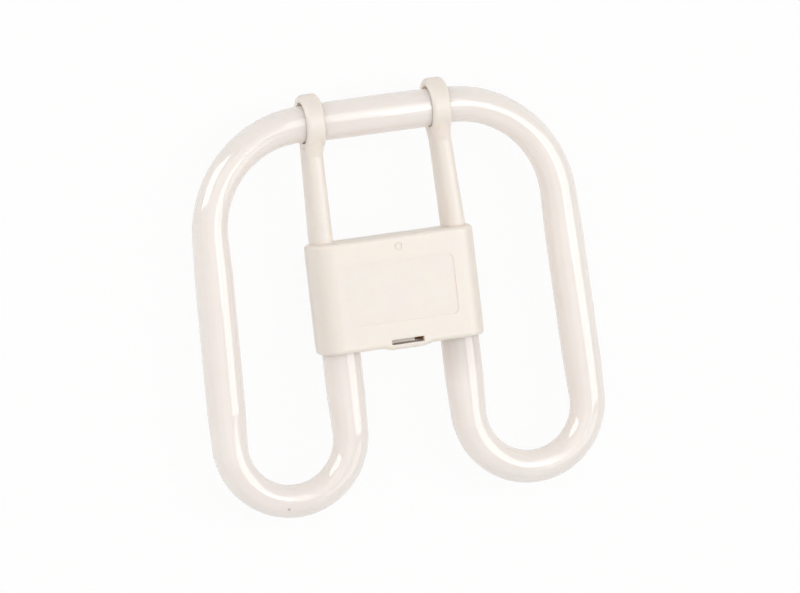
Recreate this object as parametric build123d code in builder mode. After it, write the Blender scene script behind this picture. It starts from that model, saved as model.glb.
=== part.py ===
from build123d import *
import os
from math import asin, atan2, cos, degrees, hypot, radians, sin

# Square compact fluorescent lamp. It lies on the rim of its socket collar, which is z = 0.
# +Z is the way the label face looks, +Y runs from the hairpin bends to the clip rings, and the
# origin is the middle of the lamp's outline. All sizes are millimetres.

# Glass tube: the axis of every run lies in one plane
tube_radius = 6.5
leg_spread = 20.8
hairpin_radius = 21.0
hairpin_y = -43.5
corner_x = 26.0
corner_y = 25.3
corner_radius = 35.0
hairpin_thinning = 0.95
corner_thinning = 0.75
neck_run_in = 12.0
neck_steps = 3
hairpin_steps = 14
corner_steps = 10

# Sealed ends of the glass tube
leg_end_y = 2.0
end_rounding = 3.4
pinch_thickness = 2.6
pinch_width = 8.6
pinch_length = 10.5
exhaust_tip_radius = 1.4
exhaust_tip_length = 3.0

# Housing walls and the room round the tube
wall = 1.4
face_wall = 1.8
side_room = 0.2
front_room = 2.2
rear_room = 3.1
entry_gap = 0.4

# Housing outline
housing_top = 19.9
housing_bottom = -17.25
side_radius = 16.0
section_corner_radius = 6.0
shoulder_size = 6.0
shoulder_rounding = 3.0
edge_rounding = 1.5

# Socket collar, recess and contact pins at the back
collar_height = 6.0
recess_width = 23.2
recess_length = 16.0
recess_y = 1.65
recess_depth = 9.0
recess_corner = 2.0
recess_wall = 1.6
notch_width = 5.0
notch_height = 1.8
notch_rise = 2.2
pin_spacing = 8.0
pin_radius = 1.2
pin_flange_radius = 1.8
pin_flange_height = 0.8
pin_length = 7.0
pin_dome = 0.9
pin_neck_radius = 1.4
pin_bore_depth = 4.0
pin_hole_gap = 0.03
rivet_radius = 2.0
rivet_height = 0.6
rivet_rounding = 0.3

# Label field, mould mark, and the snap window with the swelling under it
field_width = 37.6
field_height = 20.5
field_y = 1.5
field_corner = 2.0
field_depth = 0.35
mark_y = 16.3
mark_x = 0.25
mark_radius = 1.4
mark_groove = 0.5
mark_depth = 0.3
window_width = 11.3
window_height = 1.7
window_y = -15.5
swelling_flat = 11.2
swelling_ramp = 3.1
swelling_height = 0.85
swelling_rounding = 2.2
tab_x = -1.35
tab_width = 8.2
tab_gap = 0.15
tab_thickness = 1.0
tab_root_height = 4.8
catch_height = 2.6
catch_lead = 0.5
tab_setback = 1.7

# Arms and the rings that clip round the upper run of the tube
arm_foot_x = 23.25
arm_head_x = 22.45
arm_foot_width = 6.1
arm_head_width = 5.7
arm_foot_depth = 16.0
arm_head_depth = 13.4
arm_back = 8.9
arm_root = 3.5
arm_flare_start = 1.6
arm_flare_middle = 2.5
arm_flare_length = 7.3
arm_flare_middle_width = 6.1
arm_flare_width = 6.4
arm_flare_middle_depth = 0.8
arm_flare_depth = 2.9
arm_wall = 1.4
arm_step = 0.25
arm_hollow_start = 1.2
arm_hollow_end = 1.5
ring_x = 22.0
ring_width = 6.5
ring_radius = 9.7
ring_front = 8.2
ring_gap = 0.2
ring_travel = 0.6
ring_rounding = 1.4

# Cradle ribs and the cement beds that hold the tube ends
rib_thickness = 1.6
rib_width = 8.0
rib_height = 5.6
rib_root = 0.5
rib_gap = 0.3
rib_y = -9.0
bed_width = 9.0
bed_length = 7.0
bed_height = 5.6
bed_gap = 0.02

# Glow switch and suppression capacitor
switch_radius = 3.6
switch_length = 13.5
switch_x = 1.25
switch_y = 13.4
switch_dome = 2.4
switch_rounding = 1.2
switch_press_length = 3.5
switch_press_thickness = 2.0
switch_press_width = 5.4
switch_press_rounding = 0.6
switch_wire_spread = 1.55
saddle_thickness = 1.4
saddle_spread = 3.6
saddle_reach = 3.2
saddle_foot = 4.6
saddle_gap = 0.1
capacitor_width = 12.0
capacitor_length = 8.0
capacitor_height = 5.0
capacitor_y = 0.0
capacitor_rounding = 1.0
capacitor_edge = 0.6
capacitor_wire_x = 3.0
capacitor_wire_rise = 1.0
pocket_wall = 1.2
pocket_gap = 0.1
pocket_depth = 3.6

# Wires, sleeves and crimps
wire_radius = 0.3
wire_gap = 0.04
lead_spread = 2.65
sleeve_wall = 0.35
wire_bend = 1.2
wire_exit = 1.2
wire_turn_x = 11.6
wire_low_y = 8.2
wire_wall_gap = 0.7
wire_end_gap = 0.15
lead_exit = 3.1
lead_bend = 3.0
lead_turn_x = 12.5
lead_turn_y = 13.0
sleeve_start = 3.4
sleeve_length = 8.0
crimp_length = 4.2
crimp_middle_x = 15.5
crimp_y = 15.2
crimp_wall = 0.45
crimp_pitch = 0.9

# Places worked out from the sizes above
half_width = leg_spread + tube_radius + side_room + wall
front_depth = tube_radius + front_room + face_wall
rear_depth = tube_radius + rear_room + wall
tube_z = collar_height + rear_depth
face_z = tube_z + front_depth
inner_face_z = face_z - face_wall
rear_inner_z = collar_height + wall
floor_top_z = recess_depth + recess_wall
crossbar_y = corner_y + corner_radius
hairpin_x = leg_spread + hairpin_radius
ring_bore = tube_radius + ring_gap
pinch_end_y = leg_end_y + pinch_length
swelling_y = housing_bottom - swelling_height
ledge_z = face_z - tab_setback - catch_height - tab_gap
catch_y = window_y - window_height / 2 + tab_gap
tab_front_y = housing_bottom + wall + tab_gap
tab_back_y = tab_front_y + tab_thickness
arm_head_y = crossbar_y - ring_radius - arm_flare_start
arm_shaft = (
    (housing_top - arm_root, arm_foot_x, arm_foot_width, arm_foot_depth),
    (arm_head_y, arm_head_x, arm_head_width, arm_head_depth),
)
arm_flare = (
    (arm_head_y, arm_head_x, arm_head_width, arm_head_depth),
    (
        arm_head_y + arm_flare_middle,
        (arm_head_x + ring_x) / 2,
        arm_flare_middle_width,
        arm_head_depth + arm_flare_middle_depth,
    ),
    (arm_head_y + arm_flare_length, ring_x, arm_flare_width, arm_head_depth + arm_flare_depth),
)
arm_hollow = (
    (housing_top + arm_hollow_start, arm_foot_x, arm_foot_width, arm_foot_depth),
    (crossbar_y - ring_radius - arm_hollow_end, arm_head_x, arm_head_width, arm_head_depth),
)
pin_x = pin_spacing / 2
pin_tip_z = recess_depth - pin_length
rivet_z = floor_top_z + rivet_height
lead_z = tube_z - lead_spread
joint_z = tube_z + lead_spread
switch_z = joint_z + switch_wire_spread
switch_press_x = switch_x - switch_length / 2 - switch_press_length
capacitor_z = inner_face_z - pocket_gap - capacitor_height
capacitor_wire_z = capacitor_z + capacitor_wire_rise
wire_high_y = housing_top - wall - wire_wall_gap - wire_radius
wire_high_z = inner_face_z - wire_wall_gap - wire_radius
sides = {"left": -1, "right": 1}
touch = 0.01
os.makedirs("parts", exist_ok=True)

# The outer leg is the common tangent of the hairpin and the corner
centre_gap = hypot(hairpin_x - corner_x, corner_y - hairpin_y)
lean = atan2(hairpin_x - corner_x, corner_y - hairpin_y) - asin((corner_radius - hairpin_radius) / centre_gap)
outer_leg_run = (centre_gap**2 - (corner_radius - hairpin_radius) ** 2) ** 0.5


def neck(run, length, thinning):
    """Radius of the glass part of the way along a bend: a parabola, thinnest in the middle."""
    share = run / length
    return tube_radius - thinning * (1 - (1 - 2 * share) ** 2)


def bend(centre_x, centre_y, radius, start, end, thinning, steps):
    """Loft the glass round one bend, with a straight run-in before it and after it."""
    length = radius * radians(end - start) + 2 * neck_run_in
    stations = [(start, -neck_run_in * k / neck_steps) for k in range(neck_steps, 0, -1)]
    stations += [(start + (end - start) * k / steps, 0) for k in range(steps + 1)]
    stations += [(end, neck_run_in * k / neck_steps) for k in range(1, neck_steps + 1)]
    circles = []
    for angle, overrun in stations:
        heading = Vector(-sin(radians(angle)), cos(radians(angle)), 0)
        on_arc = Vector(
            centre_x + radius * cos(radians(angle)),
            centre_y + radius * sin(radians(angle)),
            tube_z,
        )
        run = neck_run_in + radius * radians(angle - start) + overrun
        with BuildSketch(Plane(on_arc + heading * overrun, x_dir=(0, 0, 1), z_dir=heading)) as circle:
            Circle(neck(run, length, thinning))
        circles.append(circle.sketch)
    loft(circles)


def straight(start, heading, length):
    """Extrude one straight run of full-width glass from its start point."""
    with BuildSketch(Plane(start, x_dir=(0, 0, 1), z_dir=heading)) as circle:
        Circle(tube_radius)
    extrude(circle.sketch, amount=length)


def housing_block(inset, front, rear, top, bottom, shoulder):
    """Extrude the housing's section along Y and bevel its rear shoulders.

    The section is a stadium, cut flat at the front and the back, with its corners rounded."""
    with BuildSketch(Plane.XZ.offset(-top)) as section:
        with Locations((0, tube_z)):
            SlotCenterToCenter(2 * (half_width - side_radius), 2 * (side_radius - inset))
        with Locations((0, tube_z + (front - rear) / 2)):
            Rectangle(2 * half_width, front + rear, mode=Mode.INTERSECT)
        fillet(section.vertices(), section_corner_radius - inset)
    extrude(section.sketch, amount=top - bottom)
    for edge_y, inward in ((top, -1), (bottom, 1)):
        with BuildSketch(Plane.YZ.offset(-half_width)) as bevel:
            with BuildLine():
                Polyline(
                    (edge_y, tube_z - rear),
                    (edge_y + inward * shoulder, tube_z - rear),
                    (edge_y, tube_z - rear + shoulder),
                    close=True,
                )
            make_face()
        extrude(bevel.sketch, amount=2 * half_width, mode=Mode.SUBTRACT)


def arm(side, stations, inset, mode=Mode.ADD):
    """Loft one arm through stadium sections with their backs in line.

    Each station is y, x, width and depth."""
    slots = []
    for y, x, width, depth in stations:
        with BuildSketch(Plane.XZ.offset(-y)) as slot:
            with Locations((side * x, tube_z - arm_back + depth / 2)):
                SlotCenterToCenter(depth - width, width - 2 * inset, rotation=90)
        slots.append(slot.sketch)
    loft(slots, mode=mode)


def ring(side):
    """Extrude one oval tube ring round the upper run, thinner in front, its edges rounded."""
    with BuildPart() as band:
        with BuildSketch(Plane.YZ.offset(side * ring_x - ring_width / 2)):
            with Locations((crossbar_y, tube_z + (ring_front - ring_radius) / 2)):
                Ellipse(ring_radius, (ring_front + ring_radius) / 2)
        extrude(amount=ring_width)
        fillet(band.edges(), ring_rounding)
    add(band.part)


def housing_half(keep, arm_inset):
    """Build one half of the hollow housing with its arms and rings, cut at the parting plane."""
    add(housing_outside.part)
    for side in (-1, 1):
        arm(side, arm_shaft, arm_inset)
        arm(side, arm_flare, arm_inset)
        ring(side)
    add(housing_inside.part, mode=Mode.SUBTRACT)
    for side in (-1, 1):
        arm(side, arm_hollow, arm_wall + arm_step, Mode.SUBTRACT)
    with BuildSketch(Plane.YZ.offset(-half_width)) as clip_bore:
        with Locations((crossbar_y + ring_travel / 2, tube_z)):
            SlotCenterToCenter(ring_travel, 2 * ring_bore)
    extrude(clip_bore.sketch, amount=2 * half_width, mode=Mode.SUBTRACT)
    with BuildSketch(Plane.XZ.offset(-housing_bottom - wall)) as leg_holes:
        with Locations((-leg_spread, tube_z), (leg_spread, tube_z)):
            Circle(tube_radius + entry_gap)
    extrude(leg_holes.sketch, amount=2 * wall, both=True, mode=Mode.SUBTRACT)
    split(bisect_by=Plane.XY.offset(tube_z), keep=keep)


def wire(points, corner_radii):
    """Sweep a round wire along straight runs joined by tangent arcs."""
    with BuildLine() as route:
        FilletPolyline(*points, radius=corner_radii)
    with BuildSketch(Plane(route.line @ 0, z_dir=route.line % 0)) as profile:
        Circle(wire_radius)
    sweep(profile.sketch, path=route.line)


# Discharge tube: the right half is built and mirrored
with BuildPart() as discharge_tube:
    straight((leg_spread, leg_end_y, tube_z), (0, -1, 0), leg_end_y - hairpin_y - neck_run_in)
    fillet(discharge_tube.edges().sort_by(Axis.Y)[-1], end_rounding)
    bend(hairpin_x, hairpin_y, hairpin_radius, 180, 360 + degrees(lean), hairpin_thinning, hairpin_steps)
    leg_heading = Vector(-sin(lean), cos(lean), 0)
    leg_start = Vector(hairpin_x + hairpin_radius * cos(lean), hairpin_y + hairpin_radius * sin(lean), tube_z)
    straight(leg_start + leg_heading * neck_run_in, leg_heading, outer_leg_run - 2 * neck_run_in)
    bend(corner_x, corner_y, corner_radius, degrees(lean), 90, corner_thinning, corner_steps)
    straight((corner_x - neck_run_in, crossbar_y, tube_z), (-1, 0, 0), corner_x - neck_run_in)
    with BuildSketch(Plane.XZ.offset(-pinch_end_y)) as pinch:
        with Locations((leg_spread, tube_z)):
            Rectangle(pinch_thickness, pinch_width)
        fillet(pinch.vertices(), pinch_thickness / 3)
    extrude(amount=pinch_length + end_rounding)
    with BuildSketch(Plane.XZ.offset(-pinch_end_y - exhaust_tip_length)):
        with Locations((leg_spread, tube_z)):
            Circle(exhaust_tip_radius)
    extrude(amount=exhaust_tip_length)
    with Locations((leg_spread, pinch_end_y + exhaust_tip_length, tube_z)):
        Sphere(exhaust_tip_radius)
    mirror(about=Plane.YZ)
discharge_tube.part.label = "discharge_tube"

# Outside of the housing, both halves together, with the swelling under the snap window
with BuildPart() as housing_outside:
    housing_block(0, front_depth, rear_depth, housing_top, housing_bottom, shoulder_size)
    shoulder_edges = housing_outside.edges().filter_by(GeomType.ELLIPSE)
    shoulder_edges += housing_outside.edges().group_by(Axis.Z)[0].filter_by(Axis.X)
    fillet(shoulder_edges, shoulder_rounding)
    with BuildSketch(Plane.XY.offset(tube_z)):
        with BuildLine():
            Polyline(
                (-swelling_flat / 2 - swelling_ramp, housing_bottom),
                (-swelling_flat / 2, swelling_y),
                (swelling_flat / 2, swelling_y),
                (swelling_flat / 2 + swelling_ramp, housing_bottom),
                (swelling_flat / 2 + swelling_ramp, housing_bottom + wall),
                (-swelling_flat / 2 - swelling_ramp, housing_bottom + wall),
                close=True,
            )
        make_face()
    extrude(amount=front_depth)
    ramp_edges = housing_outside.edges().filter_by(Axis.Z).filter_by_position(
        Axis.Y, swelling_y - wall, housing_bottom
    )
    fillet(ramp_edges, swelling_rounding)
    lower_rim = housing_outside.edges().group_by(Axis.Z)[-1].filter_by(
        lambda edge: edge.center().Y < housing_bottom + touch
    )
    lower_rim += (
        housing_outside.edges()
        .filter_by_position(Axis.Y, housing_bottom - touch, housing_bottom + touch)
        .filter_by(lambda edge: edge.center().Z < face_z - touch)
        .filter_by(lambda edge: abs(edge.center().X) > swelling_flat or edge.center().Z < tube_z - touch)
    )
    fillet(lower_rim, edge_rounding)
    fillet(housing_outside.faces().sort_by(Axis.Y)[-1].edges(), edge_rounding)

# Room inside the housing
with BuildPart() as housing_inside:
    housing_block(
        wall,
        front_depth - face_wall,
        rear_depth - wall,
        housing_top - wall,
        housing_bottom + wall,
        shoulder_size - wall * (2 - 2**0.5),
    )

# Front shell: the label face and the front halves of the arms and rings
with BuildPart() as front_shell:
    housing_half(Keep.TOP, 0)
    with BuildSketch(Plane.XY.offset(face_z - field_depth)):
        with Locations((0, field_y)):
            RectangleRounded(field_width, field_height, field_corner)
    extrude(amount=2 * field_depth, mode=Mode.SUBTRACT)
    with BuildSketch(Plane.XY.offset(face_z - mark_depth)):
        with Locations((mark_x, mark_y)):
            Circle(mark_radius)
            Circle(mark_radius - mark_groove, mode=Mode.SUBTRACT)
    extrude(amount=2 * mark_depth, mode=Mode.SUBTRACT)
    with BuildSketch(Plane.XY.offset(ledge_z)):
        with Locations((0, window_y)):
            Rectangle(window_width, window_height)
    extrude(amount=2 * (face_z - ledge_z), mode=Mode.SUBTRACT)
    for saddle_x in (switch_x - saddle_spread, switch_x + saddle_spread):
        with BuildSketch(Plane.YZ.offset(saddle_x - saddle_thickness / 2)) as saddle:
            with BuildLine():
                Polyline(
                    (switch_y - saddle_foot, switch_z),
                    (switch_y + saddle_reach, switch_z),
                    (switch_y + saddle_reach, inner_face_z + rib_root),
                    (switch_y - saddle_foot, inner_face_z + rib_root),
                    close=True,
                )
            make_face()
            with Locations((switch_y, switch_z)):
                Circle(switch_radius + saddle_gap, mode=Mode.SUBTRACT)
        extrude(amount=saddle_thickness)
    with BuildSketch(Plane.XY.offset(inner_face_z - pocket_depth)) as pocket:
        with Locations((0, capacitor_y)):
            Rectangle(
                capacitor_width + 2 * (pocket_gap + pocket_wall),
                capacitor_length + 2 * (pocket_gap + pocket_wall),
            )
            Rectangle(
                capacitor_width + 2 * pocket_gap, capacitor_length + 2 * pocket_gap, mode=Mode.SUBTRACT
            )
    extrude(amount=pocket_depth + rib_root)
front_shell.part.label = "front_shell"

# Rear shell: the socket collar and recess, the snap tab and the cradles for the tube ends
with BuildPart() as rear_shell:
    housing_half(Keep.BOTTOM, arm_step)
    with BuildSketch(Plane.XY):
        with Locations((0, recess_y)):
            RectangleRounded(
                recess_width + 2 * recess_wall,
                recess_length + 2 * recess_wall,
                recess_corner + recess_wall,
            )
    extrude(amount=floor_top_z)
    with BuildSketch(Plane.XY):
        with Locations((0, recess_y)):
            RectangleRounded(recess_width, recess_length, recess_corner)
    extrude(amount=recess_depth, mode=Mode.SUBTRACT)
    with BuildSketch(Plane.YZ.offset(-recess_width)):
        with Locations((recess_y, notch_rise + notch_height / 2)):
            Rectangle(notch_width, notch_height)
    extrude(amount=2 * recess_width, mode=Mode.SUBTRACT)
    with Locations((-pin_spacing / 2, recess_y, floor_top_z), (pin_spacing / 2, recess_y, floor_top_z)):
        Hole(pin_neck_radius + pin_hole_gap, 2 * recess_wall)
    for cradle_y in (rib_y, rib_y + rib_thickness + bed_length):
        with BuildSketch(Plane.XZ.offset(-cradle_y - rib_thickness / 2)) as cradle:
            with Locations((-leg_spread, rear_inner_z - rib_root), (leg_spread, rear_inner_z - rib_root)):
                Rectangle(rib_width, rib_height + rib_root, align=(Align.CENTER, Align.MIN))
            with Locations((-leg_spread, tube_z), (leg_spread, tube_z)):
                Circle(tube_radius + rib_gap, mode=Mode.SUBTRACT)
        extrude(amount=rib_thickness)
    with BuildSketch(Plane.YZ.offset(tab_x - tab_width / 2)):
        with BuildLine():
            Polyline(
                (tab_back_y, tube_z - tab_root_height),
                (tab_back_y, inner_face_z - tab_gap),
                (window_y + window_height / 2 - tab_gap, inner_face_z - tab_gap),
                (window_y + window_height / 2 - tab_gap, face_z - tab_setback),
                (catch_y + catch_lead, face_z - tab_setback),
                (catch_y, face_z - tab_setback - catch_lead),
                (catch_y, ledge_z + tab_gap),
                (tab_front_y, ledge_z + tab_gap),
                (tab_front_y, tube_z - tab_gap),
                (housing_bottom + wall / 2, tube_z - tab_gap),
                (housing_bottom + wall / 2, tube_z - tab_root_height),
                close=True,
            )
        make_face()
    extrude(amount=tab_width)
rear_shell.part.label = "rear_shell"

# Contact pins, turned in brass and riveted over in the recess floor
for name, side in sides.items():
    with BuildPart() as pin:
        with BuildSketch(Plane.XZ.offset(-recess_y)) as turned:
            with BuildLine():
                Polyline(
                    (side * pin_x, pin_tip_z),
                    (side * pin_x + pin_radius, pin_tip_z),
                    (side * pin_x + pin_radius, recess_depth - pin_flange_height),
                    (side * pin_x + pin_flange_radius, recess_depth - pin_flange_height),
                    (side * pin_x + pin_flange_radius, recess_depth),
                    (side * pin_x + pin_neck_radius, recess_depth),
                    (side * pin_x + pin_neck_radius, floor_top_z),
                    (side * pin_x + rivet_radius, floor_top_z),
                    (side * pin_x + rivet_radius, rivet_z),
                    (side * pin_x, rivet_z),
                    close=True,
                )
            make_face()
        revolve(axis=Axis((side * pin_x, recess_y, 0), (0, 0, 1)))
        fillet(pin.edges().group_by(Axis.Z)[0], pin_dome)
        fillet(pin.edges().group_by(Axis.Z)[-1], rivet_rounding)
        with Locations((side * pin_x, recess_y, rivet_z)):
            Hole(wire_radius + wire_gap, pin_bore_depth)
    pin.part.label = f"pin_{name}"
    export_step(pin.part, f"parts/pin_{name}.step")

# Glow switch: a small glass bulb with a dome at one end and a flat press at the other
with BuildPart() as starter_bulb:
    with BuildSketch(Plane.YZ.offset(switch_x - switch_length / 2)):
        with Locations((switch_y, switch_z)):
            Circle(switch_radius)
    extrude(amount=switch_length + switch_dome)
    fillet(starter_bulb.edges().sort_by(Axis.X)[-1], switch_dome)
    fillet(starter_bulb.edges().sort_by(Axis.X)[0], switch_rounding)
    with BuildSketch(Plane.YZ.offset(switch_press_x)) as press:
        with Locations((switch_y, switch_z)):
            RectangleRounded(switch_press_thickness, switch_press_width, switch_press_rounding)
    extrude(amount=switch_press_length + switch_rounding)
starter_bulb.part.label = "starter_bulb"

# Suppression capacitor: a dipped film block
with BuildPart() as capacitor:
    with BuildSketch(Plane.XY.offset(capacitor_z)):
        with Locations((0, capacitor_y)):
            RectangleRounded(capacitor_width, capacitor_length, capacitor_rounding)
    extrude(amount=capacitor_height)
    fillet(capacitor.edges().group_by(Axis.Z)[0] + capacitor.edges().group_by(Axis.Z)[-1], capacitor_edge)
capacitor.part.label = "capacitor"

# The wires of the glow switch: one goes straight to its side, the other back over the bulb
with BuildPart() as switch_wire_left:
    wire(
        (
            (switch_press_x, switch_y, joint_z),
            (switch_press_x - wire_exit, switch_y, joint_z),
            (-wire_turn_x, crimp_y, joint_z),
            (wire_end_gap - crimp_middle_x, crimp_y, joint_z),
        ),
        (wire_exit / 2, wire_bend / 2),
    )
switch_wire_left.part.label = "switch_wire_left"
with BuildPart() as switch_wire_right:
    wire(
        (
            (switch_press_x, switch_y, switch_z + switch_wire_spread),
            (-wire_turn_x, switch_y, switch_z + switch_wire_spread),
            (-wire_turn_x, wire_high_y, wire_high_z),
            (wire_turn_x, wire_high_y, wire_high_z),
            (wire_turn_x, crimp_y, joint_z),
            (crimp_middle_x - wire_end_gap, crimp_y, joint_z),
        ),
        (wire_bend, wire_bend, wire_bend, wire_bend),
    )
switch_wire_right.part.label = "switch_wire_right"

# On each side: the tube's two leads, the capacitor's wire, the crimp, the sleeve and the cement bed
for name, side in sides.items():
    with BuildPart() as lead_switch:
        wire(
            (
                (side * leg_spread, pinch_end_y, joint_z),
                (side * leg_spread, crimp_y, joint_z),
                (side * (crimp_middle_x + wire_end_gap), crimp_y, joint_z),
            ),
            (wire_bend,),
        )
    lead_switch.part.label = f"lead_switch_{name}"
    export_step(lead_switch.part, f"parts/lead_switch_{name}.step")

    with BuildPart() as capacitor_wire:
        wire(
            (
                (side * capacitor_wire_x, capacitor_y + capacitor_length / 2, capacitor_wire_z),
                (side * capacitor_wire_x, wire_low_y - wire_exit, capacitor_wire_z),
                (side * wire_turn_x, wire_low_y, joint_z - crimp_pitch),
                (side * wire_turn_x, crimp_y, joint_z - crimp_pitch),
                (side * crimp_middle_x, crimp_y, joint_z - crimp_pitch),
            ),
            (wire_bend, wire_bend, wire_bend),
        )
    capacitor_wire.part.label = f"capacitor_wire_{name}"
    export_step(capacitor_wire.part, f"parts/capacitor_wire_{name}.step")

    with BuildPart() as crimp:
        with BuildSketch(Plane.YZ.offset(side * crimp_middle_x)):
            with Locations((crimp_y, joint_z - crimp_pitch / 2)):
                SlotCenterToCenter(
                    crimp_pitch, 2 * (wire_radius + wire_gap + crimp_wall), rotation=90
                )
            with Locations((crimp_y, joint_z), (crimp_y, joint_z - crimp_pitch)):
                Circle(wire_radius + wire_gap, mode=Mode.SUBTRACT)
        extrude(amount=crimp_length / 2, both=True)
    crimp.part.label = f"crimp_{name}"
    export_step(crimp.part, f"parts/crimp_{name}.step")

    lead_corner = Vector(side * lead_turn_x, lead_turn_y, lead_z)
    lead_fall = Vector(side * pin_x, recess_y, lead_z)
    lead_heading = (lead_fall - lead_corner).normalized()
    with BuildPart() as lead_pin:
        wire(
            (
                (side * leg_spread, pinch_end_y, lead_z),
                (side * leg_spread, pinch_end_y + lead_exit, lead_z),
                lead_corner,
                lead_fall,
                (side * pin_x, recess_y, rivet_z - pin_bore_depth + wire_end_gap),
            ),
            (wire_bend, lead_bend, wire_bend),
        )
    lead_pin.part.label = f"lead_pin_{name}"
    export_step(lead_pin.part, f"parts/lead_pin_{name}.step")

    with BuildPart() as sleeve:
        with BuildSketch(Plane(lead_corner + lead_heading * sleeve_start, z_dir=lead_heading)):
            Circle(wire_radius + wire_gap + sleeve_wall)
            Circle(wire_radius + wire_gap, mode=Mode.SUBTRACT)
        extrude(amount=sleeve_length)
    sleeve.part.label = f"sleeve_{name}"
    export_step(sleeve.part, f"parts/sleeve_{name}.step")

    with BuildPart() as cement:
        with BuildSketch(Plane.XZ.offset(-rib_y - rib_thickness / 2 - bed_length)):
            with Locations((side * leg_spread, rear_inner_z - rib_root)):
                Rectangle(bed_width, bed_height + rib_root, align=(Align.CENTER, Align.MIN))
            with Locations((side * leg_spread, tube_z)):
                Circle(tube_radius + bed_gap, mode=Mode.SUBTRACT)
        extrude(amount=bed_length)
        add(housing_inside.part, mode=Mode.INTERSECT)
    cement.part.label = f"cement_{name}"
    export_step(cement.part, f"parts/cement_{name}.step")

export_step(discharge_tube.part, "parts/discharge_tube.step")
export_step(front_shell.part, "parts/front_shell.step")
export_step(rear_shell.part, "parts/rear_shell.step")
export_step(starter_bulb.part, "parts/starter_bulb.step")
export_step(capacitor.part, "parts/capacitor.step")
export_step(switch_wire_left.part, "parts/switch_wire_left.step")
export_step(switch_wire_right.part, "parts/switch_wire_right.step")
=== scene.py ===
"""Square compact fluorescent lamp, dressed for a studio photograph.

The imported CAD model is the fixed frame. The bent glass tube is worked out here as one smooth
surface, the moulded and turned parts keep their CAD shapes, and every piece gets its finish.
Lengths in the dataclasses are millimetres unless a name or comment says otherwise; the scene is in
metres.
"""

import logging
from dataclasses import dataclass, field
from enum import Enum
from math import asin, atan2, hypot, pi, radians

import bpy
import numpy as np
from mathutils import Euler, Matrix, Vector


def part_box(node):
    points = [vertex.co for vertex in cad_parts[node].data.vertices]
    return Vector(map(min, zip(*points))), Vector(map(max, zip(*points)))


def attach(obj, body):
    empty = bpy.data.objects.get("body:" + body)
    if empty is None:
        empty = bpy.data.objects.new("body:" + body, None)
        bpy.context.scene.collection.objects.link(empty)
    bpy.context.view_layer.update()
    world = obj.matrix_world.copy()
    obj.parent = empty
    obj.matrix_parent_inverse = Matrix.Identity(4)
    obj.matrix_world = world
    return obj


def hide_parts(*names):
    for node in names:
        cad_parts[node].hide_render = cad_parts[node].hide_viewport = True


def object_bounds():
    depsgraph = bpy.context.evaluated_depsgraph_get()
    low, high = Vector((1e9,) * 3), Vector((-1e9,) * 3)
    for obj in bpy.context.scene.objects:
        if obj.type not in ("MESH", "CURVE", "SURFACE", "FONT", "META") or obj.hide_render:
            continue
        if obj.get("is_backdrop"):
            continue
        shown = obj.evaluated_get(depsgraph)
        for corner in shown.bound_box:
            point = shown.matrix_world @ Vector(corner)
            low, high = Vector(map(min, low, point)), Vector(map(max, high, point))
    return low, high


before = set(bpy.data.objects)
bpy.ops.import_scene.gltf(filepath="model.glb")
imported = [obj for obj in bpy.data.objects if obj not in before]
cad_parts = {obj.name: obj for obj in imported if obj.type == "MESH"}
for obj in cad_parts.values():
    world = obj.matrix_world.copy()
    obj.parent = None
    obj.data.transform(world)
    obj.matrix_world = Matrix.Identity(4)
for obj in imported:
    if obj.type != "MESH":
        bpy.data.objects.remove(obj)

log = logging.getLogger("lamp")

Triple = tuple[float, float, float]
Tree = bpy.types.NodeTree
Node = bpy.types.Node
Socket = bpy.types.NodeSocket

MM = 0.001
BODY = "root"
WHITE = "#FFFFFF"
RUN_MAP = "run"
# Nearly all values of Blender's noise lie between these two
NOISE_LOW, NOISE_HIGH = 0.3, 0.7


class Side(Enum):
    """The two mirrored halves of the lamp, by the sign of their X."""

    LEFT = -1
    RIGHT = 1


def linear(hex_colour: str) -> tuple[float, float, float, float]:
    """Turn an sRGB hex colour into the linear colour that a shader works in.

    A dark channel is divided by 12.92. A lighter one has 0.055 added, is divided by 1.055 and is
    raised to the power 2.4.

    Args:
        hex_colour: six hex digits with a leading #.

    Returns:
        Linear red, green, blue and an alpha of one.
    """
    channels = np.array([int(hex_colour[i : i + 2], 16) for i in (1, 3, 5)]) / 255
    low = channels / 12.92
    high = ((channels + 0.055) / 1.055) ** 2.4
    return (*np.where(channels <= 0.04045, low, high).tolist(), 1.0)


def per_metre(size_mm: float) -> float:
    """Return the texture scale at which one cell of a pattern has this size in millimetres."""
    return 1 / (size_mm * MM)


def add_node(
    tree: Tree,
    kind: str,
    settings: dict[str, object] | None = None,
    links: dict[str, Socket] | None = None,
) -> Node:
    """Add a node, set its properties and sockets by name, and link its inputs.

    Args:
        tree: the node tree that gets the node.
        kind: the node's type name in Blender.
        settings: values by property name, or by input name or identifier.
        links: output sockets by the name or identifier of the input they go to.

    Returns:
        The new node.
    """
    node = tree.nodes.new(kind)

    def socket(name: str) -> Socket:
        """Return the first input with this name or identifier."""
        return next(s for s in node.inputs if name in (s.identifier, s.name))

    for name, value in (settings or {}).items():
        if hasattr(node, name):
            setattr(node, name, value)
        else:
            socket(name).default_value = value
    for name, output in (links or {}).items():
        tree.links.new(output, socket(name))
    return node


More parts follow.
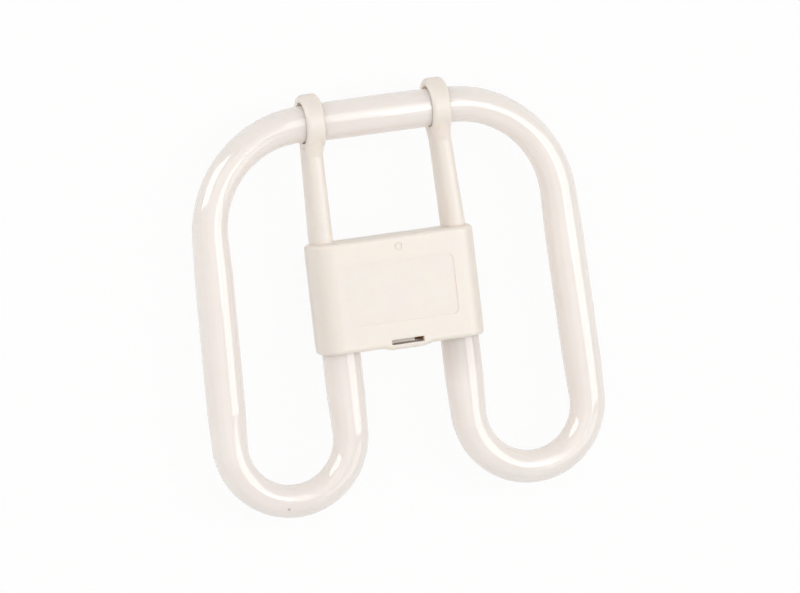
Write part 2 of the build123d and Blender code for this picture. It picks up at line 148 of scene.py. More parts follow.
@dataclass(frozen=True)
class Finish:
    """What every finish has: the real material's name and its base values."""

    name: str
    colour: str
    roughness: float

    def start(self, **sockets: object) -> tuple[bpy.types.Material, Tree, Node, Socket]:
        """Make the material with its surface shader.

        Args:
            sockets: further values for the shader, with _ for the spaces in a socket's name.

        Returns:
            The material, its node tree, its shader node and the object's coordinates, which its
            patterns read.
        """
        material = bpy.data.materials.new(self.name)
        material.use_nodes = True
        tree = material.node_tree
        tree.nodes.clear()
        settings = {"Base Color": linear(self.colour), "Roughness": self.roughness}
        settings.update({name.replace("_", " "): value for name, value in sockets.items()})
        shader = add_node(tree, "ShaderNodeBsdfPrincipled", settings)
        add_node(tree, "ShaderNodeOutputMaterial", links={"Surface": shader.outputs["BSDF"]})
        place = add_node(tree, "ShaderNodeTexCoord").outputs["Object"]
        return material, tree, shader, place

    def noise(
        self,
        tree: Tree,
        where: Socket,
        size_mm: float,
        low: float,
        high: float,
        detail: float = 2.0,
    ) -> Socket:
        """Return a soft random value between low and high, with blotches of this size.

        Args:
            tree: the material's node tree.
            where: the coordinates that the pattern reads.
            size_mm: the size of one blotch.
            low: the value in the valleys.
            high: the value on the peaks.
            detail: how many finer layers are added.

        Returns:
            The socket that carries the value.
        """
        pattern = add_node(
            tree,
            "ShaderNodeTexNoise",
            {"Scale": per_metre(size_mm), "Detail": detail},
            {"Vector": where},
        )
        spread = add_node(
            tree,
            "ShaderNodeMapRange",
            {"From Min": NOISE_LOW, "From Max": NOISE_HIGH, "To Min": low, "To Max": high},
            {"Value": pattern.outputs["Fac"]},
        )
        return spread.outputs["Result"]

    def spot(
        self,
        tree: Tree,
        where: Socket,
        at: Triple,
        half_axes: Triple,
        shade: float,
        core: float = 0.6,
    ) -> Socket:
        """Return a shade inside a soft-edged ellipsoid and one outside it.

        The coordinates are moved and scaled so that the ellipsoid is a ball of radius one, and the
        shade fades to one with the distance from its middle.

        Args:
            tree: the material's node tree.
            where: the coordinates that the pattern reads.
            at: the ellipsoid's centre.
            half_axes: its half axes.
            shade: the value inside.
            core: the share of the half axes that has the full shade.

        Returns:
            The socket that carries the value.
        """
        scaled = add_node(
            tree,
            "ShaderNodeMapping",
            {
                "Location": [-middle / half for middle, half in zip(at, half_axes)],
                "Scale": [per_metre(half) for half in half_axes],
            },
            {"Vector": where},
        )
        away = add_node(
            tree,
            "ShaderNodeVectorMath",
            {"operation": "LENGTH"},
            {"Vector": scaled.outputs["Vector"]},
        )
        edge = add_node(
            tree,
            "ShaderNodeMapRange",
            {"From Min": core, "From Max": 1.0, "To Min": shade, "To Max": 1.0},
            {"Value": away.outputs["Value"]},
        )
        return edge.outputs["Result"]

    def tint(self, tree: Tree, shader: Node, *values: Socket) -> None:
        """Vary how light the base colour is by the product of some values around one.

        Args:
            tree: the material's node tree.
            shader: the shader whose base colour varies.
            values: the values that are multiplied.
        """
        value = values[0]
        for other in values[1:]:
            value = add_node(
                tree,
                "ShaderNodeMath",
                {"operation": "MULTIPLY"},
                {"Value": value, "Value_001": other},
            ).outputs["Value"]
        shade = add_node(
            tree, "ShaderNodeHueSaturation", {"Color": linear(self.colour)}, {"Value": value}
        )
        tree.links.new(shade.outputs["Color"], shader.inputs["Base Color"])

    def relief(self, tree: Tree, shader: Node, height: Socket, depth_mm: float) -> Socket:
        """Raise the surface by a height pattern.

        Args:
            tree: the material's node tree.
            shader: the shader whose surface is raised.
            height: the pattern, from zero to one.
            depth_mm: how high a value of one stands.

        Returns:
            The socket that carries the bent normal.
        """
        bump = add_node(
            tree, "ShaderNodeBump", {"Distance": depth_mm * MM, "Strength": 1.0}, {"Height": height}
        )
        tree.links.new(bump.outputs["Normal"], shader.inputs["Normal"])
        return bump.outputs["Normal"]


@dataclass(frozen=True)
class PhosphorGlass(Finish):
    """Soda-lime glass tube, drawn and bent, with a white phosphor slurry dried on its inside.

    The eye gets an opaque warm white under a smooth clear skin: sharp soft-box reflections on the
    glass, faint streaks where the slurry ran down, and light that spreads inside the hollow tube.
    """

    name: str = "soda_lime_glass_phosphor_coated"
    colour: str = "#F4ECE6"
    roughness: float = 0.6
    glass_ior: float = 1.52
    glass_roughness: float = 0.04
    glow: float = 0.5
    glow_reach: float = 7.0
    glow_by_colour: Triple = (1.0, 0.92, 0.84)
    cloud_size: float = 14.0
    cloud_spread: float = 0.015
    streak_length: float = 26.0
    streak_width: float = 1.6
    streak_spread: float = 0.008
    speck_at: Triple = (-46.3, -66.5, 22.0)
    speck_radius: float = 0.65
    speck_shade: float = 0.66
    # Painted shadow of the housing on the tube ends below it, with a little electrode grey
    end_x: float = 20.0
    end_y: float = -18.0
    end_z: float = 20.0
    end_half_axes: Triple = (9.0, 17.0, 8.0)
    end_core: float = 0.1
    end_shadow_shades: tuple[tuple[Side, float], ...] = ((Side.LEFT, 0.9), (Side.RIGHT, 0.73))
    ripple_size: float = 24.0
    ripple_depth: float = 0.015

    def make(self) -> bpy.types.Material:
        """Build the material.

        Returns:
            The material, whose streaks follow the tube's run map.
        """
        material, tree, shader, place = self.start(
            Specular_IOR_Level=0.0,
            Coat_Weight=1.0,
            Coat_IOR=self.glass_ior,
            Coat_Roughness=self.glass_roughness,
            Subsurface_Weight=self.glow,
            Subsurface_Radius=self.glow_by_colour,
            Subsurface_Scale=self.glow_reach * MM,
        )
        clouds = self.noise(
            tree, place, self.cloud_size, 1 - self.cloud_spread, 1 + self.cloud_spread
        )
        run = add_node(tree, "ShaderNodeUVMap", {"uv_map": RUN_MAP})
        stretch = add_node(
            tree,
            "ShaderNodeMapping",
            {"Scale": (self.streak_width / self.streak_length, 1.0, 1.0)},
            {"Vector": run.outputs["UV"]},
        )
        streaks = self.noise(
            tree,
            stretch.outputs["Vector"],
            self.streak_width,
            1 - self.streak_spread,
            1 + self.streak_spread,
        )
        # One pinhole in the coating, at the bottom of the left bend
        speck = self.spot(tree, place, self.speck_at, (self.speck_radius,) * 3, self.speck_shade)
        # Painted shadow of the housing on both tube ends below it, with a little electrode grey,
        # the right one darker
        ends = []
        for side, shade in self.end_shadow_shades:
            middle = (side.value * self.end_x, self.end_y, self.end_z)
            ends.append(self.spot(tree, place, middle, self.end_half_axes, shade, self.end_core))
        self.tint(tree, shader, clouds, streaks, speck, *ends)
        # Slow waves that the drawing left in the glass bend its reflections
        ripple = self.noise(tree, place, self.ripple_size, 0.0, 1.0, detail=0.0)
        bent = self.relief(tree, shader, ripple, self.ripple_depth)
        tree.links.new(bent, shader.inputs["Coat Normal"])
        return material


@dataclass(frozen=True)
class ShellPlastic(Finish):
    """PBT, injection moulded in a spark-eroded tool, which leaves a fine satin grain.

    The eye gets a broad soft sheen, a very fine mottle, light that comes a little way through the
    walls, painted shade in the creases and a painted shadow on the snap tab.
    """

    name: str = "moulded_pbt_satin"
    colour: str = "#F9ECE2"
    roughness: float = 0.42
    roughness_spread: float = 0.04
    plastic_ior: float = 1.52
    grain_size: float = 0.45
    grain_depth: float = 0.006
    grain_spread: float = 0.015
    grain_detail: float = 3.0
    cloud_size: float = 9.0
    cloud_spread: float = 0.01
    glow: float = 0.6
    glow_reach: float = 2.2
    glow_by_colour: Triple = (1.0, 0.8, 0.6)
    # Painted shade in creases and grooves, by ambient occlusion
    crease_reach: float = 1.2
    crease_shade: float = 0.9
    crease_closed: float = 0.2
    crease_open: float = 0.8
    crease_rays: int = 8
    # Painted shadow on the snap tab, which lies deep in its window
    tab_shadow_at: Triple = (-1.35, -15.5, 25.8)
    tab_shadow_half_axes: Triple = (6.5, 2.0, 1.6)
    tab_shadow_shade: float = 0.72

    def make(self) -> bpy.types.Material:
        """Build the material.

        Returns:
            The material of both shells.
        """
        material, tree, shader, place = self.start(
            IOR=self.plastic_ior,
            Subsurface_Weight=self.glow,
            Subsurface_Radius=self.glow_by_colour,
            Subsurface_Scale=self.glow_reach * MM,
        )
        clouds = self.noise(
            tree, place, self.cloud_size, 1 - self.cloud_spread, 1 + self.cloud_spread
        )
        mottle = self.noise(
            tree,
            place,
            self.grain_size,
            1 - self.grain_spread,
            1 + self.grain_spread,
            self.grain_detail,
        )
        # Painted shade in creases and grooves, darker where ambient occlusion finds the surface
        # hemmed in, and a painted shadow on the snap tab deep in its window
        corners = add_node(
            tree,
            "ShaderNodeAmbientOcclusion",
            {"Distance": self.crease_reach * MM, "samples": self.crease_rays},
        )
        painted_crease_shade = add_node(
            tree,
            "ShaderNodeMapRange",
            {
                "From Min": self.crease_closed,
                "From Max": self.crease_open,
                "To Min": self.crease_shade,
                "To Max": 1.0,
            },
            {"Value": corners.outputs["AO"]},
        ).outputs["Result"]
        # Painted shadow on the snap tab
        tab = self.spot(tree, place, self.tab_shadow_at, self.tab_shadow_half_axes, self.tab_shadow_shade)
        self.tint(tree, shader, clouds, mottle, painted_crease_shade, tab)
        sheen = self.noise(
            tree,
            place,
            self.cloud_size,
            self.roughness - self.roughness_spread,
            self.roughness + self.roughness_spread,
        )
        tree.links.new(sheen, shader.inputs["Roughness"])
        grain = self.noise(tree, place, self.grain_size, 0.0, 1.0, self.grain_detail)
        self.relief(tree, shader, grain, self.grain_depth)
        return material


@dataclass(frozen=True)
class TurnedBrass(Finish):
    """Free-cutting brass, turned on a lathe, which leaves fine rings round the pin.

    The eye gets a warm metal whose highlight is drawn out along the pin, slightly dulled.
    """

    name: str = "turned_brass"
    colour: str = "#D8B36C"
    roughness: float = 0.26
    feed: float = 0.25
    ring_depth: float = 0.004
    ring_wobble: float = 0.4
    tarnish_size: float = 2.5
    tarnished_shade: float = 0.86
    bright_shade: float = 1.04
    bright_roughness: float = 0.2
    dull_roughness: float = 0.36

    def make(self) -> bpy.types.Material:
        """Build the material.

        Returns:
            The material of both pins.
        """
        material, tree, shader, place = self.start(Metallic=1.0)
        # One ring of the turning tool for each feed step up the pin
        rings = add_node(
            tree,
            "ShaderNodeTexWave",
            {
                "bands_direction": "Z",
                "Scale": per_metre(self.feed) / (2 * pi),
                "Distortion": self.ring_wobble,
            },
            {"Vector": place},
        )
        self.relief(tree, shader, rings.outputs["Fac"], self.ring_depth)
        tarnish = self.noise(
            tree, place, self.tarnish_size, self.tarnished_shade, self.bright_shade
        )
        self.tint(tree, shader, tarnish)
        dull = self.noise(
            tree, place, self.tarnish_size, self.bright_roughness, self.dull_roughness
        )
        tree.links.new(dull, shader.inputs["Roughness"])
        return material


@dataclass(frozen=True)
class StarterGlass(Finish):
    """Clear soda glass of the glow switch: a small blown bulb, slightly uneven.

    The eye gets a clear wall with bright edges, through which the reflections wave a little.
    """

    name: str = "clear_soda_glass"
    colour: str = "#EDF3EF"
    roughness: float = 0.02
    glass_ior: float = 1.52
    ripple_size: float = 3.0
    ripple_depth: float = 0.03

    def make(self) -> bpy.types.Material:
        """Build the material.

        Returns:
            The material of the glow switch's bulb.
        """
        material, tree, shader, place = self.start(Transmission_Weight=1.0, IOR=self.glass_ior)
        ripple = self.noise(tree, place, self.ripple_size, 0.0, 1.0, detail=0.0)
        self.relief(tree, shader, ripple, self.ripple_depth)
        return material


@dataclass(frozen=True)
class MottledFinish(Finish):
    """A plain hard or rubbery surface with blotches, a grain and a relief, each at its own size."""

    metallic: float = 0.0
    cloud_size: float = 4.0
    cloud_spread: float = 0.04
    grain_size: float = 0.6
    grain_depth: float = 0.02
    grain_detail: float = 3.0

    def make(self) -> bpy.types.Material:
        """Build the material.

        Returns:
            The material.
        """
        material, tree, shader, place = self.start(Metallic=self.metallic)
        clouds = self.noise(
            tree, place, self.cloud_size, 1 - self.cloud_spread, 1 + self.cloud_spread
        )
        self.tint(tree, shader, clouds)
        grain = self.noise(tree, place, self.grain_size, 0.0, 1.0, self.grain_detail)
        self.relief(tree, shader, grain, self.grain_depth)
        return material


# Dipped phenolic resin: a glossy dark red drop with a slow orange-peel wave
DIPPED_RESIN = MottledFinish(
    "dipped_phenolic_resin", "#B4502F", 0.22, cloud_size=3.0, grain_size=1.8
)
# Nickel-plated iron wire: pale warm grey metal with fine drawing marks
NICKEL_WIRE = MottledFinish(
    "nickel_plated_wire",
    "#CFCCC4",
    0.3,
    metallic=1.0,
    cloud_size=1.2,
    grain_size=0.15,
    grain_depth=0.004,
)
# Tinned brass crimp: soft grey-yellow metal, dull where the tin is thick
TINNED_CRIMP = MottledFinish(
    "tinned_brass",
    "#C9BFA4",
    0.38,
    metallic=1.0,
    cloud_size=0.8,
    cloud_spread=0.08,
    grain_size=0.3,
    grain_depth=0.01,
)
# Silicone cement: off-white rubber, matt, lumpy as it was squeezed on
SILICONE_CEMENT = MottledFinish(
    "silicone_cement",
    "#ECEBE6",
    0.55,
    cloud_size=2.5,
    cloud_spread=0.03,
    grain_size=1.2,
    grain_depth=0.12,
)


@dataclass(frozen=True)
class GlassFibreSleeve(Finish):
    """Braided glass-fibre sleeve, woven from cream yarns over and under each other.

    The eye gets a matt cream surface with a fine crossed weave, darker between the yarns.
    """

    name: str = "braided_glass_fibre"
    colour: str = "#EFE9D6"
    roughness: float = 0.62
    yarn: float = 0.3
    yarn_depth: float = 0.05
    gap_shade: float = 0.86
    yarn_shade: float = 1.02

    def make(self) -> bpy.types.Material:
        """Build the material.

        Returns:
            The material of both sleeves.
        """
        material, tree, shader, place = self.start()
        # Two sets of diagonal bands, crossed: where either is high a yarn lies on top
        bands = []
        for turn in (1.0, -1.0):
            turned = add_node(
                tree, "ShaderNodeMapping", {"Scale": (1.0, turn, 1.0)}, {"Vector": place}
            )
            band = add_node(
                tree,
                "ShaderNodeTexWave",
                {"bands_direction": "DIAGONAL", "Scale": per_metre(self.yarn) / (2 * pi)},
                {"Vector": turned.outputs["Vector"]},
            )
            bands.append(band.outputs["Fac"])
        weave = add_node(
            tree,
            "ShaderNodeMath",
            {"operation": "MAXIMUM"},
            {"Value": bands[0], "Value_001": bands[1]},
        ).outputs["Value"]
        shade = add_node(
            tree,
            "ShaderNodeMapRange",
            {"To Min": self.gap_shade, "To Max": self.yarn_shade},
            {"Value": weave},
        )
        self.tint(tree, shader, shade.outputs["Result"])
        self.relief(tree, shader, weave, self.yarn_depth)
        return material


def seen_rays(tree: Tree) -> Socket:
    """Tell the rays that show the floor from those that only light the lamp.

    Args:
        tree: the material's node tree.

    Returns:
        A value of one for rays of the camera, of gloss and through glass, else zero.
    """
    path = add_node(tree, "ShaderNodeLightPath")
    value = path.outputs["Is Camera Ray"]
    for other in ("Is Glossy Ray", "Is Transmission Ray"):
        value = add_node(
            tree,
            "ShaderNodeMath",
            {"operation": "MAXIMUM"},
            {"Value": value, "Value_001": path.outputs[other]},
        ).outputs["Value"]
    return value


@dataclass(frozen=True)
class StudioWhite(Finish):
    """Matt white studio paper. It shows as clean white with only part of the lamp's shadow."""

    name: str = "white_paper_sweep"
    colour: str = "#F7F6F4"
    roughness: float = 0.9
    cloud_size: float = 60.0
    cloud_spread: float = 0.005
    shadow_share: float = 0.08

    def make(self) -> bpy.types.Material:
        """Build the material.

        Rays from the camera, and those seen in gloss or through glass, get white paper whose
        shadow is lightened. Rays that light the lamp get plain paper.

        Returns:
            The material of the floor.
        """
        material, tree, shader, place = self.start(Specular_IOR_Level=0.0)
        clouds = self.noise(
            tree, place, self.cloud_size, 1 - self.cloud_spread, 1 + self.cloud_spread
        )
        self.tint(tree, shader, clouds)
        white = add_node(tree, "ShaderNodeEmission", {"Color": linear(WHITE), "Strength": 1.0})
        lightened = add_node(
            tree,
            "ShaderNodeMixShader",
            {"Fac": self.shadow_share},
            {"Shader": white.outputs["Emission"], "Shader_001": shader.outputs["BSDF"]},
        )
        chosen = add_node(
            tree,
            "ShaderNodeMixShader",
            links={
                "Fac": seen_rays(tree),
                "Shader": shader.outputs["BSDF"],
                "Shader_001": lightened.outputs["Shader"],
            },
        )
        output = next(n for n in tree.nodes if n.type == "OUTPUT_MATERIAL")
        tree.links.new(chosen.outputs["Shader"], output.inputs["Surface"])
        return material


def grid_mesh(
    name: str, points: np.ndarray, wrap: bool, uv: np.ndarray | None = None
) -> bpy.types.Object:
    """Put a grid of points into a mesh object made of quads.

    Args:
        name: the object's name.
        points: rows x columns x 3 places in metres.
        wrap: whether the last column joins the first, as round a tube.
        uv: rows x (columns + 1 if it wraps) x 2 map coordinates, if the finish needs them.

    Returns:
        The object, linked to the scene and smooth shaded.
    """
    rows, columns = points.shape[:2]
    row, column = np.meshgrid(np.arange(rows - 1), np.arange(columns - (not wrap)), indexing="ij")
    after = (column + 1) % columns
    this_row, next_row = row * columns, (row + 1) * columns
    quads = np.stack(
        [this_row + column, this_row + after, next_row + after, next_row + column], axis=-1
    ).reshape(-1, 4)
    mesh = bpy.data.meshes.new(name)
    mesh.vertices.add(rows * columns)
    mesh.vertices.foreach_set("co", points.reshape(-1).astype(np.float32))
    mesh.loops.add(quads.size)
    mesh.loops.foreach_set("vertex_index", quads.reshape(-1).astype(np.int32))
    mesh.polygons.add(len(quads))
    mesh.polygons.foreach_set("loop_start", np.arange(0, quads.size, 4, dtype=np.int32))
    mesh.polygons.foreach_set("loop_total", np.full(len(quads), 4, dtype=np.int32))
    mesh.polygons.foreach_set("use_smooth", np.ones(len(quads), dtype=bool))
    if uv is not None:
        corners = np.stack(
            [uv[row, column], uv[row, column + 1], uv[row + 1, column + 1], uv[row + 1, column]],
            axis=-2,
        )
        layer = mesh.uv_layers.new(name=RUN_MAP)
        layer.data.foreach_set("uv", corners.reshape(-1).astype(np.float32))
    mesh.update(calc_edges=True)
    mesh.validate()
    shape = bpy.data.objects.new(name, mesh)
    bpy.context.scene.collection.objects.link(shape)
    return shape


def dress(shape: bpy.types.Object, material: bpy.types.Material) -> None:
    """Give an object one material on all its faces.

    Args:
        shape: the object.
        material: its only material from now on.
    """
    faces = shape.data.polygons
    shape.data.materials.clear()
    shape.data.materials.append(material)
    faces.foreach_set("material_index", np.zeros(len(faces), dtype=np.int32))


@dataclass
class DischargeTube:
    """The bent glass tube, from its left pinch round the square outline to its right pinch.

    The axis of each half is straight runs and two arcs in one plane: the inner leg, the hairpin
    under it, the outer leg, the corner and half the crossbar. The glass is a little thinner in
    the middle of each bend, where it was stretched.
    """

    radius: float = 6.5
    leg_spread: float = 20.8
    hairpin_radius: float = 21.0
    hairpin_y: float = -43.5
    corner_x: float = 26.0
    corner_y: float = 25.3
    corner_radius: float = 35.0
    hairpin_thinning: float = 0.95
    corner_thinning: float = 0.75
    run_in: float = 12.0
    leg_end_y: float = 2.0
    shoulder_length: float = 3.4
    pinch_thickness: float = 2.6
    pinch_width: float = 8.6
    pinch_length: float = 10.5
    pinch_rounding: float = 0.6
    exhaust_radius: float = 1.4
    exhaust_length: float = 3.0
    # Rings of points over each rounding, the flat of the pinch and the shoulder, then one each step
    rounding_rings: int = 7
    flat_rings: int = 9
    shoulder_rings: int = 12
    step: float = 1.1
    around: int = 72
    plane_z: float = field(init=False)
    hairpin_x: float = field(init=False)
    ends: np.ndarray = field(init=False)

    def __post_init__(self) -> None:
        """Work out the axis: the outer leg is the common tangent of hairpin and corner."""
        low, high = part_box("discharge_tube")
        self.plane_z = (low.z + high.z) / 2 / MM
        self.hairpin_x = self.leg_spread + self.hairpin_radius
        across, up = self.hairpin_x - self.corner_x, self.corner_y - self.hairpin_y
        difference = self.corner_radius - self.hairpin_radius
        distance = hypot(across, up)
        lean = atan2(across, up) - asin(difference / distance)
        pinch_end = self.leg_end_y + self.pinch_length
        runs = (
            pinch_end - self.hairpin_y,
            self.hairpin_radius * (pi + lean),
            (distance**2 - difference**2) ** 0.5,
            self.corner_radius * (pi / 2 - lean),
            self.corner_x,
        )
        self.ends = np.concatenate([[0.0], np.cumsum(runs)])

    def axis(self, run: np.ndarray) -> tuple[np.ndarray, np.ndarray]:
        """Follow the right half of the axis from its pinched end.

        The heading turns at a steady rate in each arc and stays constant between them. The place
        is the nearer arc's centre, plus its radius at right angles to the heading, plus the
        distance beyond that arc's start or end along the heading.

        Args:
            run: distances along the axis from the pinched end.

        Returns:
            The places as an array of x, y, and the heading angles from +X.
        """
        leg, hairpin, outer, corner = self.ends[1:5]
        turned = np.clip(run - leg, 0, hairpin - leg) / self.hairpin_radius
        turned = turned + np.clip(run - outer, 0, corner - outer) / self.corner_radius
        heading = turned - pi / 2
        along = np.stack([np.cos(heading), np.sin(heading)], axis=-1)
        outward = np.stack([np.sin(heading), -np.cos(heading)], axis=-1)
        first = run < (hairpin + outer) / 2
        centre = np.where(
            first[:, None], (self.hairpin_x, self.hairpin_y), (self.corner_x, self.corner_y)
        )
        radius = np.where(first, self.hairpin_radius, self.corner_radius)
        beyond = run - np.clip(run, np.where(first, leg, outer), np.where(first, hairpin, corner))
        return centre + radius[:, None] * outward + beyond[:, None] * along, heading

    def thinned(self, run: np.ndarray) -> np.ndarray:
        """Work out the glass radius: over each bend and its run-ins it dips by a parabola.

        Args:
            run: distances along the axis.

        Returns:
            The radius at each distance.
        """
        radius = np.full_like(run, self.radius)
        leg, hairpin, outer, corner = self.ends[1:5]
        bends = ((leg, hairpin, self.hairpin_thinning), (outer, corner, self.corner_thinning))
        for start, end, thinning in bends:
            share = (run - start + self.run_in) / (end - start + 2 * self.run_in)
            inside = np.clip(share, 0, 1)
            radius = radius - thinning * (1 - (1 - 2 * inside) ** 2)
        return radius

    def stations(self) -> np.ndarray:
        """Place the rings of points, closer together where the form changes.

        Returns:
            Distances along the right half of the axis, negative over the exhaust tip.
        """
        quarter = np.linspace(0, pi / 2, self.rounding_rings)
        tip = -self.exhaust_length - self.exhaust_radius * np.cos(quarter)
        end = self.pinch_rounding * (1 - np.cos(quarter))
        flat = np.linspace(self.pinch_rounding, self.pinch_length, self.flat_rings + 1)[1:]
        steps = np.linspace(0, 1, self.shoulder_rings + 1)[1:]
        shoulder = self.pinch_length + self.shoulder_length * steps
        count = int((self.ends[-1] - shoulder[-1]) / self.step)
        body = np.linspace(shoulder[-1], self.ends[-1], count + 1)[1:]
        return np.concatenate([tip, end, flat, shoulder, body])

    def section(self, run: np.ndarray, turn: np.ndarray) -> tuple[np.ndarray, np.ndarray]:
        """Work out the outline of the glass at each station.

        The outline is a superellipse. The sealed exhaust tip is a circle that closes to a point
        over a hemisphere. The pinch is flat with squarer corners and grows out of the tip over a
        small rounding. Over the shoulder both half axes follow a quarter ellipse out to the
        body, which is a circle of the thinned radius.

        Args:
            run: distances along the axis, negative over the exhaust tip.
            turn: angles round the section.

        Returns:
            Offsets across the axis in the plane, and offsets along Z, as grids.
        """
        radius = self.thinned(run)
        tip = np.clip((run + self.exhaust_length) / self.exhaust_radius, -1, 0)
        tip_radius = self.exhaust_radius * np.sqrt(1 - tip**2)
        opened = np.sqrt(1 - (1 - np.clip(run / self.pinch_rounding, 0, 1)) ** 2)
        shoulder = np.clip((run - self.pinch_length) / self.shoulder_length, 0, 1)
        full = np.sqrt(1 - (1 - shoulder) ** 2)
        power = 1 / (1 + opened * (1 - full))
        pinches = (self.pinch_thickness / 2, self.pinch_width / 2)
        offsets = []
        for pinch, wave in zip(pinches, (np.cos(turn), np.sin(turn))):
            end = tip_radius + (pinch - tip_radius) * opened
            half_axis = end + (radius - pinch) * full
            rounded = np.sign(wave) * np.abs(wave) ** power[:, None]
            offsets.append(half_axis[:, None] * rounded)
        return offsets[0], offsets[1]

    def build(self) -> bpy.types.Object:
        """Sweep the outline along both halves of the axis.

        Returns:
            The tube, dressed, in place of the CAD tube.
        """
        half = self.stations()
        run = np.concatenate([half, 2 * self.ends[-1] - half[-2::-1]])
        from_end = np.minimum(run, 2 * self.ends[-1] - run)
        place, heading = self.axis(from_end)
        mirrored = run > self.ends[-1]
        place[:, 0] = np.where(mirrored, -place[:, 0], place[:, 0])
        heading = np.where(mirrored, -heading, heading)
        turn = np.linspace(0, 2 * pi, self.around, endpoint=False)
        across, high = self.section(from_end, turn)
        outward = np.stack([np.sin(heading), -np.cos(heading)], axis=-1)
        flat = place[:, None, :] + across[..., None] * outward[:, None, :]
        points = np.concatenate([flat, (self.plane_z + high)[..., None]], axis=-1)
        full_turn = np.linspace(0, 2 * pi, self.around + 1) * self.radius
        uv = np.stack(np.broadcast_arrays(run[:, None], full_turn[None, :]), axis=-1)
        tube = grid_mesh("glass_tube", points * MM, True, uv * MM)
        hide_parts("discharge_tube")
        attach(tube, BODY)
        dress(tube, PhosphorGlass().make())
        log.info("glass tube: %d rings of %d points", len(run), self.around)
        return tube


@dataclass
class Housing:
    """The two moulded shells, which keep their CAD shapes."""

    nodes: tuple[str, ...] = ("front_shell", "rear_shell")

    def build(self) -> None:
        """Dress both shells in the same moulded plastic."""
        plastic = ShellPlastic().make()
        for name in self.nodes:
            dress(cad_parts[name], plastic)
            log.info("%s: %s", name, plastic.name)


@dataclass
class InnerParts:
    """The contact pins, the starter gear and its wiring, which keep their CAD shapes."""

    paired: tuple[tuple[str, Finish], ...] = (
        ("pin", TurnedBrass()),
        ("switch_wire", NICKEL_WIRE),
        ("lead_switch", NICKEL_WIRE),
        ("lead_pin", NICKEL_WIRE),
        ("capacitor_wire", NICKEL_WIRE),
        ("crimp", TINNED_CRIMP),
        ("sleeve", GlassFibreSleeve()),
        ("cement", SILICONE_CEMENT),
    )
    single: tuple[tuple[str, Finish], ...] = (
        ("starter_bulb", StarterGlass()),
        ("capacitor", DIPPED_RESIN),
    )

    def build(self) -> None:
        """Dress each node in the finish of its kind."""
        pieces = [
            (f"{stem}_{side.name.lower()}", finish) for stem, finish in self.paired for side in Side
        ]
        made: dict[str, bpy.types.Material] = {}
        for name, finish in [*pieces, *self.single]:
            if finish.name not in made:
                made[finish.name] = finish.make()
            dress(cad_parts[name], made[finish.name])
            log.info("%s: %s", name, finish.name)


@dataclass(frozen=True)
class Softbox:
    """One rectangular soft light, aimed at the lamp's middle and upright to the lamp's own Y.

    Besides its plain light it can have more that only the gloss sees, as from a bright lamp
    behind its cloth, so that its reflection is crisp while its light stays soft. Distance, width
    and height are in metres; the radiance of plain white paper is one.
    """

    name: str
    toward: Triple
    width: float
    height: float
    radiance: float
    gloss: float = 0.0
    distance: float = 1.0
    gloss_nearness: float = 0.98

    def build(self, aim: Vector) -> None:
        """Hang the light at its distance along its direction, once for each kind of its light.

        The gloss copy hangs just in front and is as much smaller, so both cover the same view. A
        light's power is its radiance times pi times its area.

        Args:
            aim: the place that the light faces.
        """
        back = Vector(self.toward).normalized()
        across = Vector((0, 1, 0)).cross(back).normalized()
        turn = Matrix((across, back.cross(across), back)).transposed()
        plain = (self.name, self.radiance, 1.0, True)
        glossy = (f"{self.name}_gloss", self.gloss, self.gloss_nearness, False)
        for name, radiance, nearness, lights_all in (plain, glossy):
            if radiance == 0:
                continue
            data = bpy.data.lights.new(name, "AREA")
            data.shape = "RECTANGLE"
            data.size = self.width * nearness
            data.size_y = self.height * nearness
            data.energy = radiance * pi * data.size * data.size_y
            lamp = bpy.data.objects.new(name, data)
            lamp.matrix_world = turn.to_4x4()
            lamp.location = aim + back * self.distance * nearness
            lamp.visible_diffuse = lights_all
            bpy.context.scene.collection.objects.link(lamp)


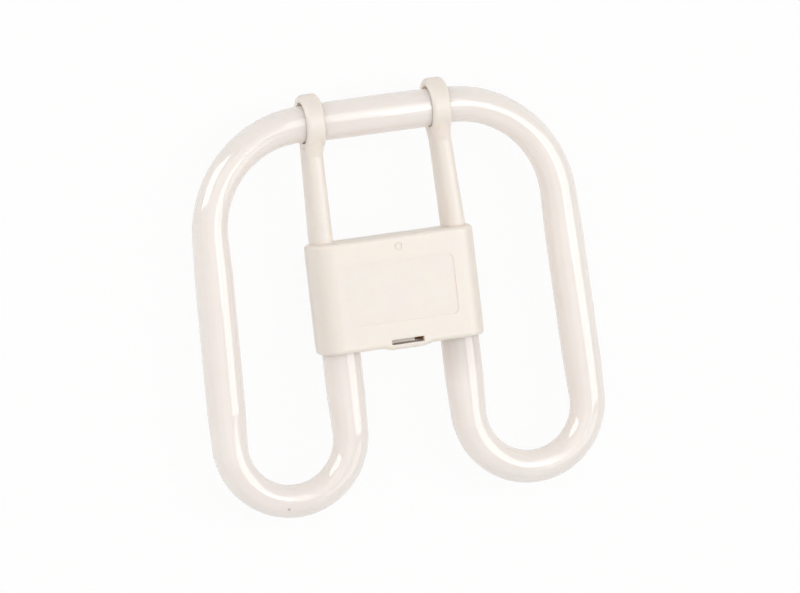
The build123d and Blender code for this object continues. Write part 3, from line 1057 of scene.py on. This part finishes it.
@dataclass
class Studio:
    """White paper floor, soft lights all round, and the camera at the photograph's angle."""

    # Half the floor's width, in metres
    floor_half: float = 4.0
    floor_cells: int = 8
    # The radiance all round, where plain white paper is one
    surround: float = 0.57
    boxes: tuple[Softbox, ...] = (
        Softbox(
            "right_softbox", (0.62, 0.05, 0.78), width=0.85, height=0.55, radiance=1.4, gloss=2.6
        ),
        Softbox(
            "lower_right_softbox",
            (0.6, -0.42, 0.7),
            width=0.7,
            height=0.3,
            radiance=0.0,
            gloss=1.8,
        ),
        Softbox(
            "top_softbox", (0.27, 0.27, 0.92), width=0.3, height=0.75, radiance=0.4, gloss=2.6
        ),
        Softbox("front_softbox", (-0.25, 0.1, 1.0), width=0.8, height=0.8, radiance=1.0),
        Softbox("left_softbox", (-0.85, 0.0, 0.5), width=0.6, height=0.9, radiance=0.5),
        Softbox(
            "upper_left_softbox",
            (-0.78, 0.58, 0.36),
            width=0.8,
            height=0.6,
            radiance=0.4,
            gloss=5.2,
            distance=1.2,
        ),
        Softbox("lower_softbox", (0.0, -0.85, 0.5), width=0.9, height=0.5, radiance=0.1),
    )
    # The camera: turn in degrees, aim and distance in millimetres
    camera_turn: Triple = (-3.00985824, -16.0, -6.93955756)
    camera_aim: Triple = (6.499, -2.945, 0.0)
    camera_distance: float = 2699.05
    lens: float = 360.0
    sensor: float = 36.0
    farthest_seen: float = 100000.0

    def floor(self) -> None:
        """Lay the floor: a flat grid at the height of the lowest part of the lamp."""
        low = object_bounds()[0]
        line = np.linspace(-self.floor_half, self.floor_half, self.floor_cells + 1)
        y, x = np.meshgrid(line, line, indexing="ij")
        points = np.stack([x, y, np.full_like(x, low.z)], axis=-1)
        sheet = grid_mesh("paper_floor", points, False)
        sheet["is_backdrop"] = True
        dress(sheet, StudioWhite().make())

    def world(self) -> None:
        """Light the scene evenly from all round, and show plain white behind it."""
        world = bpy.data.worlds.new("studio_surround")
        bpy.context.scene.world = world
        world.use_nodes = True
        tree = world.node_tree
        tree.nodes.clear()
        white = linear(WHITE)
        light = add_node(tree, "ShaderNodeBackground", {"Color": white, "Strength": self.surround})
        shown = add_node(tree, "ShaderNodeBackground", {"Color": white, "Strength": 1.0})
        path = add_node(tree, "ShaderNodeLightPath")
        chosen = add_node(
            tree,
            "ShaderNodeMixShader",
            links={
                "Fac": path.outputs["Is Camera Ray"],
                "Shader": light.outputs["Background"],
                "Shader_001": shown.outputs["Background"],
            },
        )
        add_node(tree, "ShaderNodeOutputWorld", links={"Surface": chosen.outputs["Shader"]})

    def camera(self) -> None:
        """Set up the camera where the photograph was taken from."""
        data = bpy.data.cameras.new("photo_camera")
        data.lens = self.lens
        data.sensor_width = self.sensor
        data.clip_end = self.farthest_seen * MM
        camera = bpy.data.objects.new("photo_camera", data)
        camera.rotation_euler = Euler([radians(angle) for angle in self.camera_turn], "XYZ")
        back = camera.rotation_euler.to_matrix() @ Vector((0, 0, self.camera_distance * MM))
        camera.location = Vector(self.camera_aim) * MM + back
        bpy.context.scene.collection.objects.link(camera)
        bpy.context.scene.camera = camera

    def build(self) -> None:
        """Build floor, surround, lights and camera."""
        low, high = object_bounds()
        self.floor()
        self.world()
        for box in self.boxes:
            box.build((low + high) / 2)
        self.camera()
        bpy.context.scene.view_settings.view_transform = "Standard"
        log.info("studio: %d softboxes", len(self.boxes))


def main() -> None:
    """Build the lamp and its studio."""
    logging.basicConfig(level=logging.INFO, format="%(name)s: %(message)s")
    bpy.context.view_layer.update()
    Studio().build()
    DischargeTube().build()
    Housing().build()
    InnerParts().build()


if __name__ == "__main__":
    main()
